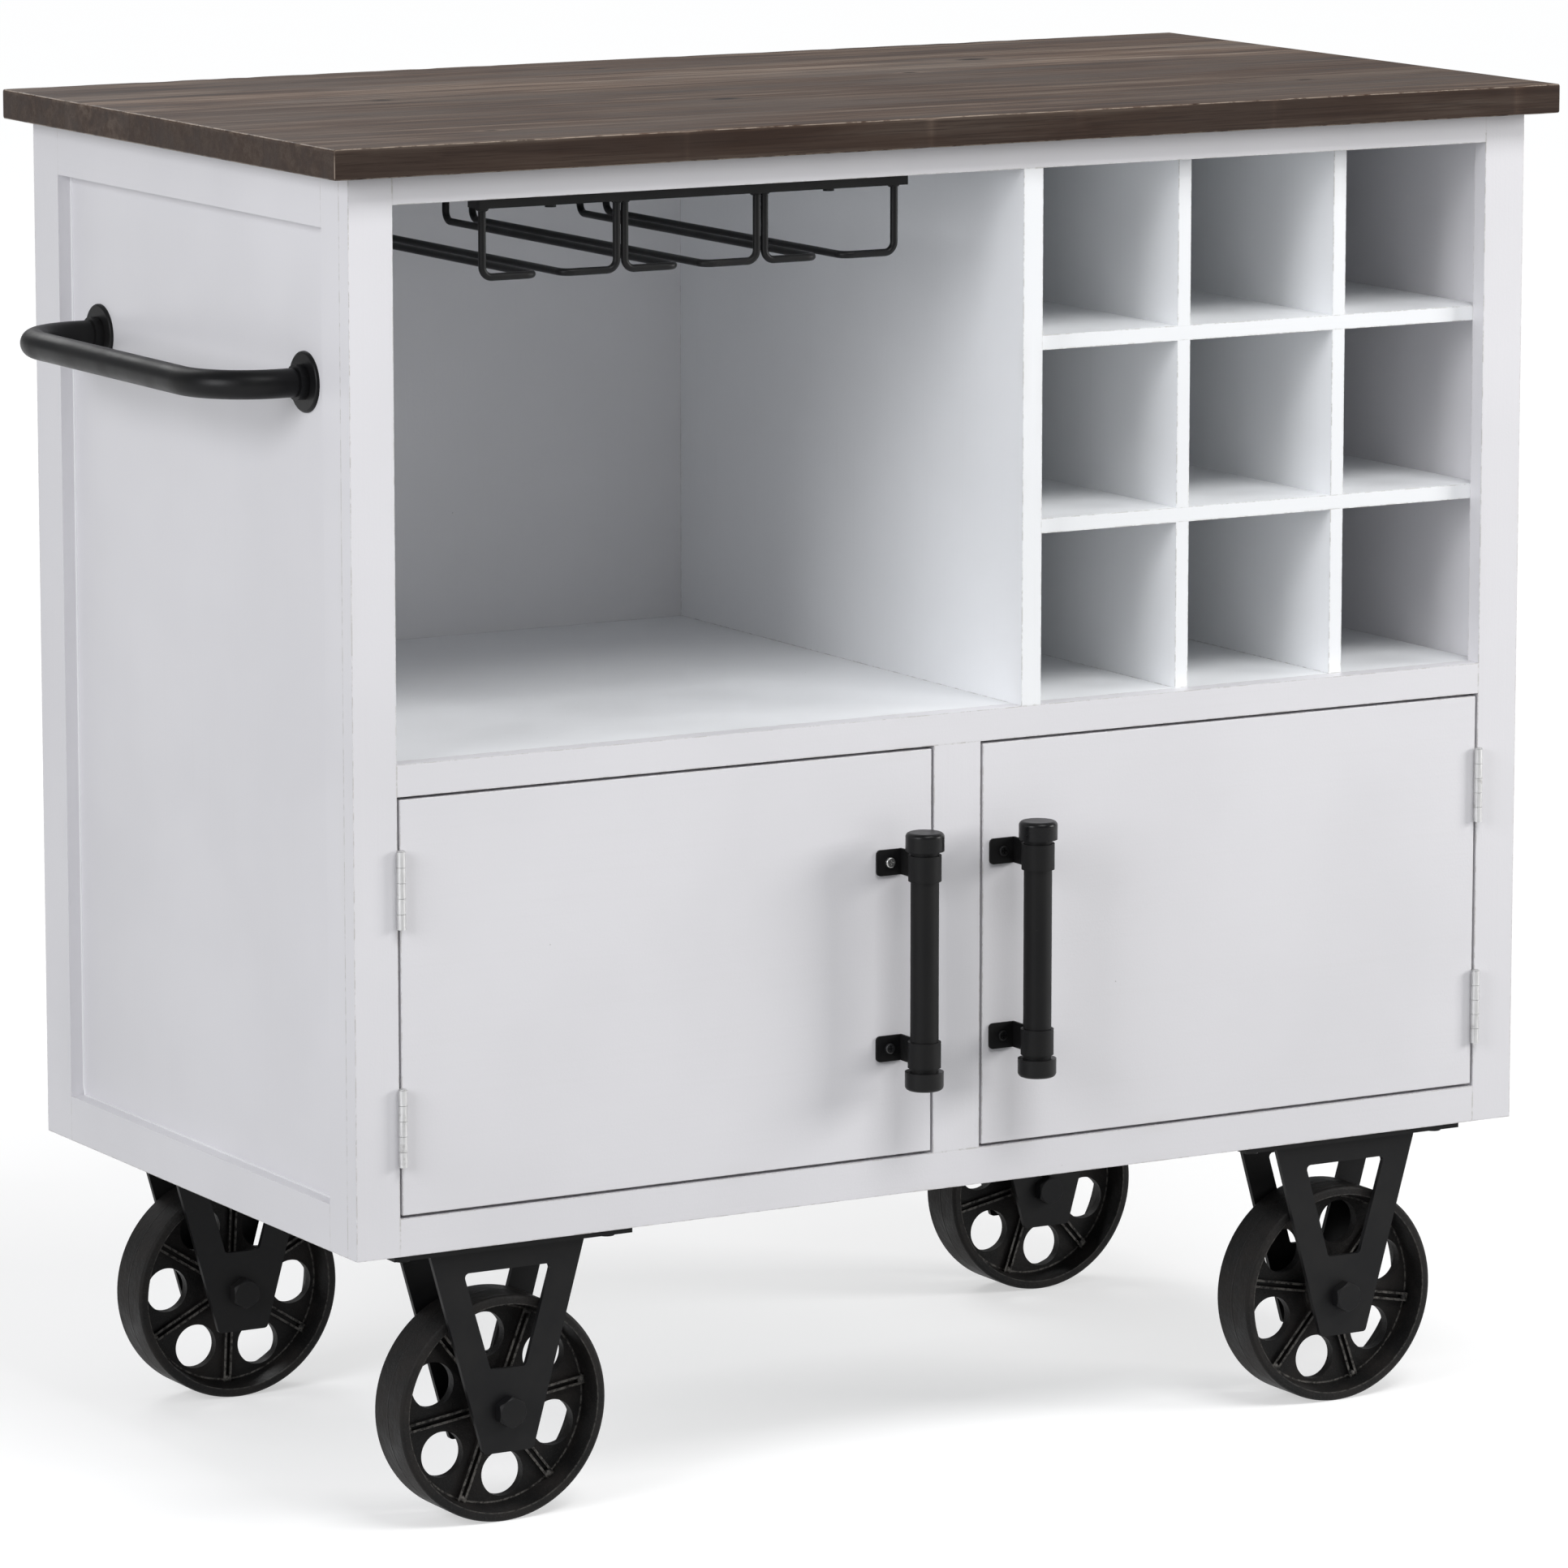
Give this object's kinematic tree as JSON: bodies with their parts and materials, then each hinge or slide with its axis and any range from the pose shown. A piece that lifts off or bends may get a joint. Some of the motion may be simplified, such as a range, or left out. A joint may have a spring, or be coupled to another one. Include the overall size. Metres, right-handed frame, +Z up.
{
  "type": "bar cart",
  "caption": "Wheeled wooden bar cart with an open bay under a hanging glass rack, bottle cubbies, a two-door cabinet, a side push handle and spoked iron wheels.",
  "frame": {"origin": "on the floor, under the middle of the whole cart's footprint, push handle and door pulls included", "axes": "+X to the right along the front (the longest size), +Y from the front to the back, +Z up"},
  "size_m": [0.9865, 0.5214, 0.914],
  "materials": {
    "worktop_wood": "dark walnut stain under a satin lacquer, worn pale at the edges",
    "white_painted_wood": "off-white satin paint on board and solid wood",
    "black_steel": "satin black powder coat",
    "bright_steel": "zinc plated steel",
    "cast_iron": "rough sand-cast iron, painted black",
    "white_plastic": "moulded catch body"
  },
  "bodies": {
    "cabinet": {"axle_bolts": "black_steel", "axle_nuts": "black_steel", "axle_sleeves": "bright_steel", "back_panel": "white_painted_wood", "bay_divider": "white_painted_wood", "bottom_panel": "white_painted_wood", "caster_screws": "black_steel", "cubby_shelf_lower": "white_painted_wood", "cubby_shelf_upper": "white_painted_wood", "cubby_upright_left": "white_painted_wood", "cubby_upright_right": "white_painted_wood", "face_bottom_rail": "white_painted_wood", "face_centre_stile": "white_painted_wood", "face_mid_rail": "white_painted_wood", "face_stile_left": "white_painted_wood", "face_stile_right": "white_painted_wood", "face_top_rail": "white_painted_wood", "front_left_caster_bracket": "black_steel", "front_right_caster_bracket": "black_steel", "hinge_frame_screws": "bright_steel", "hinge_pins": "bright_steel", "left_hinge_frame_leaves": "bright_steel", "left_side_panel": "white_painted_wood", "left_side_rails": "white_painted_wood", "left_side_stiles": "white_painted_wood", "magnetic_catches": "white_plastic", "mid_shelf": "white_painted_wood", "push_handle_bar": "black_steel", "push_handle_bolts": "bright_steel", "push_handle_flanges": "black_steel", "rack_bars": "black_steel", "rack_screws": "black_steel", "rack_wires": "black_steel", "rear_left_caster_bracket": "black_steel", "rear_right_caster_bracket": "black_steel", "right_hinge_frame_leaves": "bright_steel", "right_side_panel": "white_painted_wood", "right_side_rails": "white_painted_wood", "right_side_stiles": "white_painted_wood", "top_panel": "white_painted_wood", "worktop": "worktop_wood"},
    "left_door": {"left_door": "white_painted_wood", "left_door_screws": "black_steel", "left_hinge_door_leaves": "bright_steel", "left_pull_caps": "black_steel", "left_pull_clamps": "black_steel", "left_pull_pipe": "black_steel", "left_strike": "bright_steel"},
    "right_door": {"right_door": "white_painted_wood", "right_door_screws": "black_steel", "right_hinge_door_leaves": "bright_steel", "right_pull_caps": "black_steel", "right_pull_clamps": "black_steel", "right_pull_pipe": "black_steel", "right_strike": "bright_steel"},
    "front_left_wheel": {"front_left_wheel": "cast_iron"},
    "front_right_wheel": {"front_right_wheel": "cast_iron"},
    "rear_left_wheel": {"rear_left_wheel": "cast_iron"},
    "rear_right_wheel": {"rear_right_wheel": "cast_iron"}
  },
  "joints": [
    {"name": "left_door_hinge", "type": "hinge", "parent": "cabinet", "child": "left_door", "pos_m": [-0.39525, -0.22075, 0.3555], "axis": [0, 0, -1], "range_deg": [0, 170]},
    {"name": "right_door_hinge", "type": "hinge", "parent": "cabinet", "child": "right_door", "pos_m": [0.44275, -0.22075, 0.3555], "axis": [0, 0, 1], "range_deg": [0, 170]},
    {"name": "front_left_wheel_axle", "type": "hinge", "parent": "cabinet", "child": "front_left_wheel", "pos_m": [-0.31075, -0.17925, 0.0762], "axis": [0, 1, 0], "continuous": true},
    {"name": "front_right_wheel_axle", "type": "hinge", "parent": "cabinet", "child": "front_right_wheel", "pos_m": [0.34675, -0.17925, 0.0762], "axis": [0, 1, 0], "continuous": true},
    {"name": "rear_left_wheel_axle", "type": "hinge", "parent": "cabinet", "child": "rear_left_wheel", "pos_m": [-0.31075, 0.21225, 0.0762], "axis": [0, 1, 0], "continuous": true},
    {"name": "rear_right_wheel_axle", "type": "hinge", "parent": "cabinet", "child": "rear_right_wheel", "pos_m": [0.34675, 0.21225, 0.0762], "axis": [0, 1, 0], "continuous": true}
  ]
}
